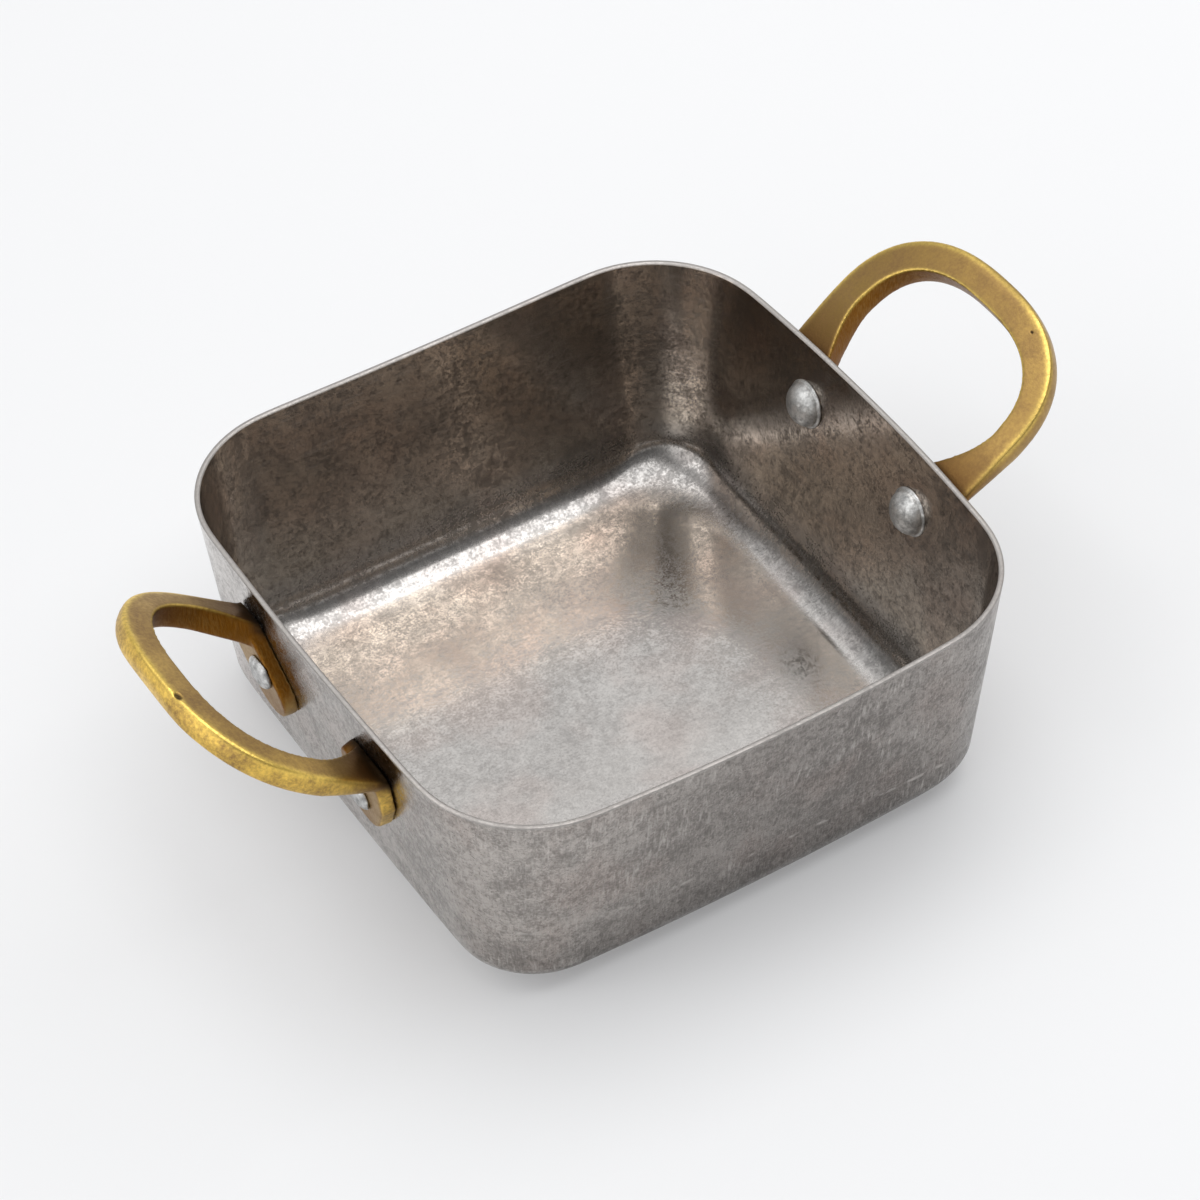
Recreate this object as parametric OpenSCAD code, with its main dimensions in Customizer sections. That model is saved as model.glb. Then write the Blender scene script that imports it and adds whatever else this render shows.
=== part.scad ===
// Square serving pan of pressed steel with two riveted brass loop handles.
// The pan stands on z = 0, centred on the origin; the handles point along x.

/* [Pan] */
// Width of the square rim across its flats
rim_width = 121.5; // [100:0.5:180]
// Height of the rim above the table
pan_height = 50; // [40:0.5:62]
// Thickness of the steel sheet
sheet = 1; // [0.8:0.1:2]
// Lean of the walls from upright, in degrees
wall_lean = 7.5; // [4:0.5:9]
// Radius of the four corners at the rim, seen from above
corner_radius = 24; // [21:0.5:32]
// Outer radius between wall and base
base_radius = 9.5; // [5:0.5:12]

/* [Handles] */
// Drop from the rim to the top of the right handle's legs at the wall
right_handle_drop = 4; // [2:0.5:8]
// Drop from the rim to the top of the left handle's legs at the wall
left_handle_drop = 8.5; // [2:0.5:12]
// Rise of the right loop above level, in degrees
right_loop_rise = 34.5; // [20:0.5:50]
// Rise of the left loop above level, in degrees
left_loop_rise = 37.5; // [20:0.5:50]
// Reach of the loop from the wall to its outer edge, along its slope
loop_reach = 36; // [30:0.5:45]
// Width of the loop over its two legs
loop_width = 54.6; // [48:0.2:64]
// Width of the bar at the far end of the loop
end_bar_width = 5.6; // [4:0.1:8]
// Width of the bar at the sides of the loop
side_bar_width = 4.8; // [3.6:0.1:7]
// Depth of the bar below its top face
bar_depth = 5.4; // [4:0.1:7]
// Length of the legs before the loop turns
leg_run = 13; // [10:0.5:16]
// Extra width of each leg towards its neighbour where it meets the wall
inner_flare = 5.2; // [3:0.1:7]
// Extra width of each leg on its outer side where it meets the wall
outer_flare = 0.4; // [0:0.1:2]
// Extra depth of each leg where it meets the wall
root_gain = 1.1; // [0.4:0.1:2]
// Squareness of the loop's turn: 2 is an ellipse, more is squarer
loop_squareness = 2.5; // [2:0.1:3.2]

/* [Feet] */
// Thickness of the foot plates on the wall
foot_thickness = 2.8; // [2:0.1:4]
// Radius of the round lower end of each foot
foot_radius = 6.2; // [4.6:0.1:7]
// Radius of the upper corners of each foot
foot_corner = 2.2; // [1:0.1:3]
// Radius of the lower outer corner of each foot
foot_shoulder_radius = 5; // [3:0.1:7]
// Drop from the top of a leg at the wall to the middle of that corner
foot_shoulder_drop = 7.5; // [6:0.5:12]
// Drop from a rivet to the middle of its foot's round lower end
foot_overhang = 3.4; // [2:0.2:6]

/* [Rivets] */
// Distance between the two rivets of one handle
rivet_spacing = 35.2; // [32:0.2:40]
// Drop from the top of a leg at the wall to its rivet
rivet_drop = 9.8; // [8.8:0.2:14]
// Diameter of the rivet shank
shank_diameter = 4.8; // [3:0.1:6]
// Clearance between shank and bore, all round
rivet_fit = 0.05; // [0.02:0.01:0.2]
// Diameter of the domed head inside the pan
head_diameter = 9.6; // [7:0.1:11]
// Height of the domed head
head_rise = 3.8; // [2:0.1:4.4]
// Diameter of the peened tail outside the foot
tail_diameter = 7; // [6:0.1:8.6]
// Height of the peened tail
tail_rise = 1.4; // [1:0.1:2.2]
// Height of the straight edge under each head
head_edge = 0.8; // [0.2:0.1:1.2]
// Height of the straight edge under each tail
tail_edge = 0.6; // [0.2:0.1:0.8]

/* [Hidden] */
// Node to draw, or all of them

// How far every cut runs past the surface that it opens
overrun = 1;
half_rim = rim_width / 2;
// Distance of the corner axes from the middle of the pan
corner_axis = half_rim - corner_radius;
// Distance from the rim's outer edge in to the axis of the base bend
bend_inset = (base_radius + (pan_height - base_radius) * sin(wall_lean)) / cos(wall_lean);
// Distance of the base bend from the corner axis
bend_reach = corner_radius - bend_inset;
loop_half_width = loop_width / 2;
side_inner_half = loop_half_width - side_bar_width;
end_outer_reach = loop_reach - leg_run;
end_inner_reach = end_outer_reach - end_bar_width;
turn_power = 2 / loop_squareness;
// Power of the curve by which a leg widens towards the wall
pull_power = 1.5;
rivet_side = rivet_spacing / 2;
// Steps along each leg and around the turn of the loop
leg_steps = 7;
turn_steps = 34;
last_station = 2 * leg_steps + turn_steps;
// Section of the bar, as shares of its width (from the inner side) and of its depth (from the top)
bar_shares = [
    [0, 0.05],
    [0.1, 0],
    [0.4, 0.03],
    [0.72, 0.09],
    [0.93, 0.14],
    [1, 0.21],
    [1.01, 0.45],
    [0.97, 0.7],
    [0.89, 0.88],
    [0.72, 0.97],
    [0.45, 1],
    [0.15, 1],
    [0, 0.97],
    [-0.05, 0.88],
    [-0.04, 0.5],
    [-0.02, 0.18]
];
section_points = len(bar_shares);
// Steps around the larger circles of the foot outline
round_steps = 48;
$fn = 96;

// Pan section right of a corner axis, filled from the axis to the outside of a sheet skin.
// skin is the depth of that outside below the true outer surface.
module filled_section(skin, top) {
    bend = base_radius - skin;
    lip = corner_radius - skin / cos(wall_lean) + (top - pan_height) * tan(wall_lean);
    polygon([
        [0, skin],
        [bend_reach, skin],
        [bend_reach + bend * cos(wall_lean), base_radius - bend * sin(wall_lean)],
        [lip, top],
        [0, top]
    ]);
    intersection() {
        translate([bend_reach, base_radius])
            circle(bend);
        translate([bend_reach, 0])
            square(base_radius);
    }
}

// Sheet steel between the outer and the inner surface, right of a corner axis
module sheet_section() {
    difference() {
        filled_section(0, pan_height);
        translate([-overrun, sheet])
            square([bend_reach + overrun, pan_height]);
        filled_section(sheet, pan_height + overrun);
    }
}

// One quarter of the pan's shell: a corner and the wall beside it
module quarter_shell() {
    translate([corner_axis, corner_axis])
        rotate_extrude(angle = 90)
            sheet_section();
    translate([corner_axis, corner_axis])
        rotate([90, 0, 0])
            linear_extrude(2 * corner_axis)
                sheet_section();
}

// Places its children on the outside of a wall: x leaves the wall, z climbs it.
// side is 1 for the right wall and -1 for the left one.
module on_wall(side, drop) {
    mirror([side < 0 ? 1 : 0, 0, 0])
        translate([half_rim - drop * tan(wall_lean), 0, pan_height - drop])
            rotate([0, wall_lean, 0])
                children();
}

// Round hole through wall and foot at each rivet of one handle
module rivet_bores() {
    for (y = [-rivet_side, rivet_side])
        translate([-sheet - overrun, y, -rivet_drop])
            rotate([0, 90, 0])
                cylinder(h = sheet + foot_thickness + 2 * overrun, d = shank_diameter + 2 * rivet_fit);
}

module pan_body() {
    color("#8f8a84")
        difference() {
            union() {
                for (turn = [0:90:270])
                    rotate(turn)
                        quarter_shell();
                translate([-corner_axis, -corner_axis])
                    cube([2 * corner_axis, 2 * corner_axis, sheet]);
            }
            on_wall(1, right_handle_drop)
                rivet_bores();
            on_wall(-1, left_handle_drop)
                rivet_bores();
        }
}

// How strongly a point of a leg is drawn towards the wall: 1 at the wall, 0 at the turn
function root_pull(along) = pow((leg_run - along) / leg_run, pull_power);

// Squared-off circle: the length of a unit step at an angle, kept with its sign
function squared(step) = sign(step) * pow(abs(step), turn_power);

// Distance along the slope of the inner and the outer edge, then their distances from the middle
function leg_edges(along) = [
    along,
    along,
    side_inner_half - inner_flare * root_pull(along),
    loop_half_width + outer_flare * root_pull(along)
];
function turn_edges(angle) = [
    leg_run + end_inner_reach * squared(cos(angle)),
    leg_run + end_outer_reach * squared(cos(angle)),
    side_inner_half * squared(sin(angle)),
    loop_half_width * squared(sin(angle))
];
function mirrored_edges(edges) = [edges[0], edges[1], -edges[2], -edges[3]];
function station_edges(i) =
    i < leg_steps ? mirrored_edges(leg_edges(leg_run * i / leg_steps))
    : i > last_station - leg_steps ? leg_edges(leg_run * (last_station - i) / leg_steps)
    : turn_edges((i - leg_steps) * 180 / turn_steps - 90);

// Depth and tilt of the section at a station: it turns from the wall's plane to the loop's own
function station_along(i) = min(leg_run, leg_run * min(i, last_station - i) / leg_steps);
function station_depth(i) = bar_depth + root_gain * root_pull(station_along(i));
function station_tilt(i, slope) = slope * (1 - root_pull(station_along(i)));

// One point of the section at a station of a loop that leaves the wall at a slope
function bar_point(edges, share, depth, tilt, slope) =
    let (
        along = edges[0] + (edges[1] - edges[0]) * share[0],
        across = edges[2] + (edges[3] - edges[2]) * share[0]
    )
    [
        along * cos(slope) + share[1] * depth * sin(tilt),
        across,
        along * sin(slope) - share[1] * depth * cos(tilt)
    ];

// The loop and its two legs, from the wall round to the wall
module loop_bar(slope) {
    points = [
        for (i = [0:last_station])
            for (share = bar_shares)
                bar_point(station_edges(i), share, station_depth(i), station_tilt(i, slope), slope)
    ];
    first_cap = [for (k = [0:section_points - 1]) k];
    last_cap = [for (k = [section_points - 1:-1:0]) last_station * section_points + k];
    sides = [
        for (i = [0:last_station - 1])
            for (k = [0:section_points - 1])
                let (
                    next = (k + 1) % section_points,
                    ring = i * section_points,
                    far = ring + section_points
                )
                [ring + k, far + k, far + next, ring + next]
    ];
    polyhedron(points, concat([first_cap], sides, [last_cap]), convexity = 6);
}

// Outline of one foot on the wall, y across and z up the wall
module foot_outline() {
    outer_edge = loop_half_width + outer_flare;
    inner_edge = side_inner_half - inner_flare;
    hull() {
        translate([rivet_side, -rivet_drop - foot_overhang])
            circle(foot_radius, $fn = round_steps);
        translate([outer_edge - foot_shoulder_radius, -foot_shoulder_drop])
            circle(foot_shoulder_radius, $fn = round_steps);
        for (x = [outer_edge - foot_corner, inner_edge + foot_corner])
            translate([x, -foot_corner])
                circle(foot_corner, $fn = round_steps / 2);
    }
}

// One cast handle on its wall, with its loop at a rise above level
module handle(rise) {
    difference() {
        union() {
            // The wall leans, so the loop leaves it at a steeper slope
            loop_bar(rise + wall_lean);
            for (flip = [0, 1])
                mirror([0, flip, 0])
                    rotate([90, 0, 90])
                        linear_extrude(foot_thickness)
                            foot_outline();
        }
        rivet_bores();
    }
}

module left_handle() {
    color("#b08a3c")
        on_wall(-1, left_handle_drop)
            handle(left_loop_rise);
}

module right_handle() {
    color("#b08a3c")
        on_wall(1, right_handle_drop)
            handle(right_loop_rise);
}

// Half section of a dome on a short straight edge, standing on its flat face
module dome_section(width, rise, edge) {
    cap_rise = rise - edge;
    cap_radius = (pow(width / 2, 2) + pow(cap_rise, 2)) / (2 * cap_rise);
    square([width / 2, edge]);
    intersection() {
        translate([0, rise - cap_radius])
            circle(cap_radius);
        square([width / 2, rise]);
    }
}

// A set rivet: domed head inside the pan, shank through wall and foot, peened tail outside
module rivet(front) {
    translate([0, front ? -rivet_side : rivet_side, -rivet_drop])
        rotate([0, 90, 0]) {
            translate([0, 0, -sheet])
                mirror([0, 0, 1])
                    rotate_extrude()
                        dome_section(head_diameter, head_rise, head_edge);
            translate([0, 0, -sheet])
                cylinder(h = sheet + foot_thickness, d = shank_diameter);
            translate([0, 0, foot_thickness])
                rotate_extrude()
                    dome_section(tail_diameter, tail_rise, tail_edge);
        }
}

module left_front_rivet() {
    color("#a3a39f")
        on_wall(-1, left_handle_drop)
            rivet(true);
}

module left_rear_rivet() {
    color("#a3a39f")
        on_wall(-1, left_handle_drop)
            rivet(false);
}

module right_front_rivet() {
    color("#a3a39f")
        on_wall(1, right_handle_drop)
            rivet(true);
}

module right_rear_rivet() {
    color("#a3a39f")
        on_wall(1, right_handle_drop)
            rivet(false);
}

pan_body();
left_handle();
right_handle();
left_front_rivet();
left_rear_rivet();
right_front_rivet();
right_rear_rivet();
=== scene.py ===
# %% [markdown]
# # A square serving pan with two brass handles
# The real pan is one sheet of steel, pressed into a square bowl with round corners and then tumbled
# until it looks old. Two cast brass loops are riveted to opposite walls.
# The CAD model gives the places and the main sizes. This lesson gives each piece its finished shape
# and its metal, in metres, in the same frame as the CAD model.

# %% Load the frame
from math import cos, pi, radians, sin, tan, tanh
import bmesh
import bpy
import numpy as np
from mathutils import Matrix, Vector, kdtree, noise


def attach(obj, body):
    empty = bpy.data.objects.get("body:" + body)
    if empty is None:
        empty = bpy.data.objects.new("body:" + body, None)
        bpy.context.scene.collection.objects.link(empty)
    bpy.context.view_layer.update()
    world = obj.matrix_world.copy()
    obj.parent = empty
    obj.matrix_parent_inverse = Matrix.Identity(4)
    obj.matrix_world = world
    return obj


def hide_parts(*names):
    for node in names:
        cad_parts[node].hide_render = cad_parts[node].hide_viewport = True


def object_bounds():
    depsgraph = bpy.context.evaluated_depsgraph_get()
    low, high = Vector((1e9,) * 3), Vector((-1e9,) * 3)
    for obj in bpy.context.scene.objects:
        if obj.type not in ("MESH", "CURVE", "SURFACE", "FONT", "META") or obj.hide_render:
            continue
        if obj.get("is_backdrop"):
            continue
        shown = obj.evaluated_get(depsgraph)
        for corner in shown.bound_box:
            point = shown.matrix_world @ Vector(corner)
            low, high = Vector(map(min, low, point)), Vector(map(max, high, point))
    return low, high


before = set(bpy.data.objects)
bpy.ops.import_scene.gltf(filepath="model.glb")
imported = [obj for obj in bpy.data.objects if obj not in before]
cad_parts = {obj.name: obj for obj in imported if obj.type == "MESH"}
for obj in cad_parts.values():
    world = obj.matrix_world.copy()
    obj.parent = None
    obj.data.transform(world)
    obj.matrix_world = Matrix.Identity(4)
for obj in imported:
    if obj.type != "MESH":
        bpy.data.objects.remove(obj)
cad_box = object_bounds()
scene = bpy.context.scene
MM = 0.001
print("CAD nodes:", sorted(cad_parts))

# %% [markdown]
# ## The camera
# A photograph of a small object is taken from some way off with a long lens, so its edges stay nearly
# parallel. The camera could be placed by eye, but here its direction, distance and lens were fitted to
# the pan's rim and handles, so that the render can be laid over the photograph.

# %% Camera
CAMERA_AZIMUTH = radians(-31.22)
CAMERA_ELEVATION = radians(45.15)
CAMERA_ROLL = radians(-1.56)
CAMERA_DISTANCE = 785.4 * MM
CAMERA_LENS = 132.2
CAMERA_TARGET = Vector((-9.37, -15.82, 50)) * MM

backward = Vector((sin(CAMERA_AZIMUTH) * cos(CAMERA_ELEVATION),
                   -cos(CAMERA_AZIMUTH) * cos(CAMERA_ELEVATION),
                   sin(CAMERA_ELEVATION)))
level = Vector((cos(CAMERA_AZIMUTH), sin(CAMERA_AZIMUTH), 0))
upright = backward.cross(level)
rightward = cos(CAMERA_ROLL) * level + sin(CAMERA_ROLL) * upright
upward = cos(CAMERA_ROLL) * upright - sin(CAMERA_ROLL) * level

camera_data = bpy.data.cameras.new("camera")
camera_data.lens = CAMERA_LENS
camera_data.sensor_width = 36
camera_data.clip_start = 0.01
camera = bpy.data.objects.new("camera", camera_data)
turn = Matrix((rightward, upward, backward)).transposed().to_4x4()
camera.matrix_world = Matrix.Translation(CAMERA_TARGET + backward * CAMERA_DISTANCE) @ turn
scene.collection.objects.link(camera)
scene.camera = camera
print("camera at", [round(value, 3) for value in camera.matrix_world.translation])

# %% [markdown]
# ## Helpers for meshes
# Nearly every piece here is a ring that is extruded again and again, like a potter's coil that climbs a
# wall. One helper adds a ring and moves it into place, another turns the finished mesh into an object.

# %% Mesh helpers
def grow_ring(mesh, ring, points):
    """Extrudes a closed ring of vertices once and moves the new ring onto the points."""
    edges = [mesh.edges.get(pair) for pair in zip(ring, ring[1:] + ring[:1])]
    made = bmesh.ops.extrude_edge_only(mesh, edges=edges)["geom"]
    made = {item for item in made if isinstance(item, bmesh.types.BMVert)}
    grown = [next(edge.other_vert(vert) for edge in vert.link_edges if edge.other_vert(vert) in made)
             for vert in ring]
    for vert, point in zip(grown, points):
        vert.co = point
    return grown


def first_ring(mesh, points):
    """A closed ring of vertices and edges on the points."""
    ring = bmesh.ops.create_circle(mesh, segments=len(points), radius=MM)["verts"]
    for vert, point in zip(ring, points):
        vert.co = point
    return ring


def finish_piece(mesh, name, node):
    """Makes an object of the mesh, with faces outward, and lets it stand for its CAD node."""
    bmesh.ops.recalc_face_normals(mesh, faces=mesh.faces)
    data = bpy.data.meshes.new(name)
    mesh.to_mesh(data)
    mesh.free()
    for face in data.polygons:
        face.use_smooth = True
    piece = bpy.data.objects.new(name, data)
    scene.collection.objects.link(piece)
    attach(piece, "root")
    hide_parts(node)
    return piece


# Where the three parts of a shift are read in the noise, so that they don't move together
NOISE_PARTS = (Vector((9.3, -1.5, -8.0)), Vector((31.4, 5.2, 17.8)), Vector((-12.6, 44.1, 8.3)))


def noise_shift(place):
    """A smooth shift by noise that is the same in every run, which noise_vector of the library isn't."""
    return Vector([noise.noise(place + part) for part in NOISE_PARTS])


def store_values(piece, name, values):
    """Keeps one number for each vertex, for the material to read."""
    attribute = piece.data.attributes.new(name, "FLOAT", "POINT")
    attribute.data.foreach_set("value", np.asarray(values, np.float32))


def ramp(value, start, end):
    """0 at the start, 1 at the end, and straight between them. The end may be the lower one."""
    return np.clip((value - start) / (end - start), 0, 1)


# %% [markdown]
# ## The pressed shell
# A press draws the shell out of one flat sheet, so its outline is a square with round corners, its walls
# lean outwards, and a round bend joins them to the base. The walls spring back a little after pressing,
# each by its own amount, and bulge. The corners get rounder again low down in the bend.
# Bevels on a box could give such corners, but not the bulge, so the outline is a function of the inset
# from the rim, and one ring after another climbs the outside, rolls over the rim and goes down inside.

# %% Outline of the shell
RIM_HALF = 60.0
PAN_HEIGHT = 50.0
SHEET = 1.0
WALL_LEAN = radians(7.7)
RIM_CORNER = 24.3
BASE_RADIUS = 9.0
# How far the middle of each wall bulges at the rim: right, rear, left, front
WALL_BULGE = (1.36, -0.42, 0.59, 1.43)
# Share of the bulge that is left at the base
BASE_BULGE_SHARE = 0.6
# How fast the corner radius shrinks down the wall and grows again in the bend, per mm of inset
CORNER_SHRINK = 1.64
CORNER_REGROWTH = 0.74
# The pan stands this much behind the frame's middle, because the front wall bulges most
REARWARD = 0.7
SIDE_STEPS = 26
CORNER_STEPS = 26
SETTLING_PASSES = 6

bend_top = BASE_RADIUS * (1 - sin(WALL_LEAN))
wall_inset = (PAN_HEIGHT - bend_top) * tan(WALL_LEAN)
bend_inset = wall_inset + BASE_RADIUS * cos(WALL_LEAN)


def corner_at(inset):
    """Radius of the corners, seen from above, at an inset of the outer surface from the rim."""
    if inset < wall_inset:
        return RIM_CORNER - CORNER_SHRINK * inset
    return RIM_CORNER - CORNER_SHRINK * wall_inset + CORNER_REGROWTH * (inset - wall_inset)


def outline(inset, depth, height):
    """Ring of points at an inset of the outer surface, moved in by a depth under that surface."""
    corner = corner_at(inset) - depth
    half = RIM_HALF - inset - depth
    straight = half - corner
    share = 1 - (1 - BASE_BULGE_SHARE) * min(1, inset / wall_inset)
    points = []
    for quarter, bulge in enumerate(WALL_BULGE):
        side = []
        for step in range(SIDE_STEPS):
            along = 2 * step / SIDE_STEPS - 1
            side.append(Vector((half + share * bulge * (1 - along ** 2), along * straight, 0)))
        for step in range(CORNER_STEPS):
            angle = pi / 2 * step / CORNER_STEPS
            side.append(Vector((straight + corner * cos(angle), straight + corner * sin(angle), 0)))
        quarter_turn = Matrix.Rotation(quarter * pi / 2, 3, "Z")
        points += [quarter_turn @ point for point in side]
    return settle_ring(points, height)


def settle_ring(points, height):
    """Evens out the kinks where a bulging side meets its corner, and lifts the ring to its height."""
    ring = np.array(points)
    for _ in range(SETTLING_PASSES):
        ring = (np.roll(ring, 1, 0) + 2 * ring + np.roll(ring, -1, 0)) / 4
    return [Vector((x, y + REARWARD, height)) * MM for x, y, _ in ring]


print("base bend ends", round(bend_inset, 2), "mm inside the rim")

# %% Shell
BEND_STEPS = 12
WALL_STEPS = 16
RIM_STEPS = 10
FLOOR_SCALES = (0.985, 0.93, 0.8)
RIM_ROUNDING = 0.28
# How squared-off the rounding is: 1 would be a circle
RIM_POWER = 0.7
# A ring this far below the rounding keeps the rim's tone and shading from spreading down the wall
RIM_BAND = 0.35


def outer_profile():
    """Inset and height up the outside, from the base to the start of the rim's rounding."""
    for step in range(BEND_STEPS):
        angle = (pi / 2 - WALL_LEAN) * step / BEND_STEPS
        yield bend_inset - BASE_RADIUS * sin(angle), BASE_RADIUS * (1 - cos(angle))
    top = PAN_HEIGHT - RIM_ROUNDING
    heights = [bend_top + (top - bend_top) * step / WALL_STEPS for step in range(WALL_STEPS)]
    for height in heights + [top - RIM_BAND, top]:
        yield (PAN_HEIGHT - height) * tan(WALL_LEAN), height


def rim_profile():
    """Depth under the outer surface and height over the rounded rim."""
    for step in range(1, RIM_STEPS):
        angle = pi * step / RIM_STEPS
        across = SHEET / 2 * (1 - abs(cos(angle)) ** RIM_POWER * np.sign(cos(angle)))
        yield across, PAN_HEIGHT - RIM_ROUNDING * (1 - sin(angle) ** RIM_POWER)


def flat_ring(scale, height):
    """The base's outline, shrunk for the flat of the base or of the floor."""
    return [Vector((point.x * scale, point.y * scale, height * MM)) for point in outline(bend_inset, 0, 0)]


shell = bmesh.new()
rings = []
profile = list(outer_profile())
for scale in reversed(FLOOR_SCALES):
    flat = flat_ring(scale, 0)
    rings.append(first_ring(shell, flat) if not rings else grow_ring(shell, rings[-1], flat))
for inset, height in profile:
    rings.append(grow_ring(shell, rings[-1], outline(inset, 0, height)))
wall_rings = len(rings)
for across, height in rim_profile():
    rings.append(grow_ring(shell, rings[-1], outline(0, across, height)))
rim_rings = len(rings)
for inset, height in reversed(profile):
    slope = pi / 2 - WALL_LEAN if height >= bend_top else np.arccos(1 - height / BASE_RADIUS)
    points = outline(inset, SHEET * sin(slope), height + SHEET * cos(slope))
    rings.append(grow_ring(shell, rings[-1], points))
for scale in FLOOR_SCALES:
    rings.append(grow_ring(shell, rings[-1], flat_ring(scale, SHEET)))
bmesh.ops.contextual_create(shell, geom=rings[0])
bmesh.ops.contextual_create(shell, geom=rings[-1])
print("shell rings:", len(rings), "of", len(rings[0]), "vertices")

# %% [markdown]
# ### Dents and zones
# Tumbling and hand work leave the sheet slightly wavy, which shows as soft streaks in its reflections.
# Both skins of the sheet follow the same noise, so the thickness stays. The material also has to know
# the rim, the inner walls and their upper part, the bend and the floor, so each vertex keeps its share
# of each of these zones.

# %% Waves and zones of the shell
WAVE_LENGTH = 26.0
WAVE_HEIGHT = 0.10
# Heights in mm over which the waves and each zone of the inside begin
WAVE_RUN = (SHEET, SHEET + 12)
INNER_WALL_RUN = (3.5, 12.5)
UPPER_WALL_RUN = (12, 30)
BEND_RUN = (SHEET, SHEET + 0.5)
# The bend's zone fades out again from 4 to 11 mm
BEND_FADE = (11, 4)
# The shell reaches at most this far to the front and the rear, to stay in the CAD box
WIDEST = 60.74

shell.verts.ensure_lookup_table()
shell.verts.index_update()
zone_names = ("inner_wall", "floor_zone", "upper_wall", "rim_zone", "bend_zone")
zones = {zone: np.zeros(len(shell.verts)) for zone in zone_names}
for number, ring in enumerate(rings):
    for vert in ring:
        height = vert.co.z / MM
        if number >= rim_rings:
            inner = ramp(height, *INNER_WALL_RUN)
            zones["inner_wall"][vert.index] = inner
            zones["floor_zone"][vert.index] = 1 - inner
            zones["upper_wall"][vert.index] = ramp(height, *UPPER_WALL_RUN)
            zones["bend_zone"][vert.index] = ramp(height, *BEND_RUN) * ramp(height, *BEND_FADE)
        zones["rim_zone"][vert.index] = 1 if wall_rings - 1 <= number <= rim_rings else 0
for vert in shell.verts:
    wave = noise_shift(vert.co / (WAVE_LENGTH * MM))
    lift = WAVE_HEIGHT * MM * ramp(vert.co.z / MM, *WAVE_RUN)
    vert.co.x += wave.x * lift
    vert.co.y += wave.y * lift
    vert.co.y = min(WIDEST * MM, max(-WIDEST * MM, vert.co.y))
pan_shell = finish_piece(shell, "pan_shell", "pan_body")
for zone, values in zones.items():
    store_values(pan_shell, zone, values)
print("shell width", [round(value / MM, 2) for value in pan_shell.dimensions])

# %% [markdown]
# ## The cast handles
# Each handle is one brass casting: a loop with a flat top, and a foot plate under each leg that lies on
# the wall. The loop's section has a sharp inner edge, a softer outer edge that lies lower, and an upright
# outer face. The loop is lofted ring by ring, the feet are hulls of short cylinders, and a voxel remesh
# fuses them into one skin. A little smoothing then gives the rounded edges of a filed casting.

# %% Sizes of the handles
HANDLE_SIZES = {
    "right_handle": {"side": 1, "wall_at_rim": 61.0, "drop": 3.65, "rise": 34.55, "middle": -0.1,
                     "inner_half": (22.4, 21.3), "outer_half": (27.4, 28.4), "inner_reach": 29.7,
                     "outer_reach": 35.8, "flare": (7.3, 6.2), "outer_flare": (0.2, -0.9),
                     "foot_top": (16.6, 16.6), "foot_drop": (0.0, 0.0), "foot_side": (0.0, 0.0)},
    "left_handle": {"side": -1, "wall_at_rim": 60.5, "drop": 8.9, "rise": 37.31, "middle": 1.0,
                    "inner_half": (22.1, 22.1), "outer_half": (27.3, 27.3), "inner_reach": 31.2,
                    "outer_reach": 37.0, "flare": (6.2, 3.4), "outer_flare": (-0.9, -0.3),
                    "foot_top": (15.6, 21.4), "foot_drop": (-1.6, 1.4), "foot_side": (-1.2, 0.0)},
}
BAR_DEPTH = 5.3
LEG_RUN = 13.0
FLARE_POWER = 1.6
ROOT_GAIN = 0.8
ROOT_FILLET = 2.2
FILLET_RUN = 5.0
# The bar gets thinner towards its root, but only under its upper part
ROOT_THINNING = 0.42
THINNING_POWER = 0.6
UPPER_PART = 0.3
INNER_SQUARENESS = 2.56
OUTER_SQUARENESS = 2.42
LEG_STEPS = 10
TURN_STEPS = 56
# Section of the bar, as shares of its width from the inner edge and of its depth from the top
BAR_SECTION = [(0.0, 0.0), (0.35, 0.05), (0.7, 0.105), (0.94, 0.15), (1.0, 0.21), (1.01, 0.45), (0.98, 0.7),
               (0.9, 0.9), (0.75, 0.98), (0.4, 1.0), (0.05, 1.0), (-0.05, 0.92), (-0.06, 0.6), (-0.02, 0.15)]


def wall_place(sizes):
    """Turns wall coordinates into the frame: x leaves the wall, y runs along it, z climbs it."""
    drop = sizes["drop"]
    out = sizes["wall_at_rim"] - drop * sin(WALL_LEAN)
    place = Matrix.Translation(Vector((out, sizes["middle"], PAN_HEIGHT - drop * cos(WALL_LEAN))) * MM)
    place = place @ Matrix.Rotation(WALL_LEAN, 4, "Y") @ Matrix.Scale(MM, 4)
    return Matrix.Scale(sizes["side"], 4, Vector((1, 0, 0))) @ place


def squared(step, squareness):
    """Length of a unit step at an angle on a squared-off circle, kept with its sign."""
    return np.sign(step) * abs(step) ** (2 / squareness)


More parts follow.
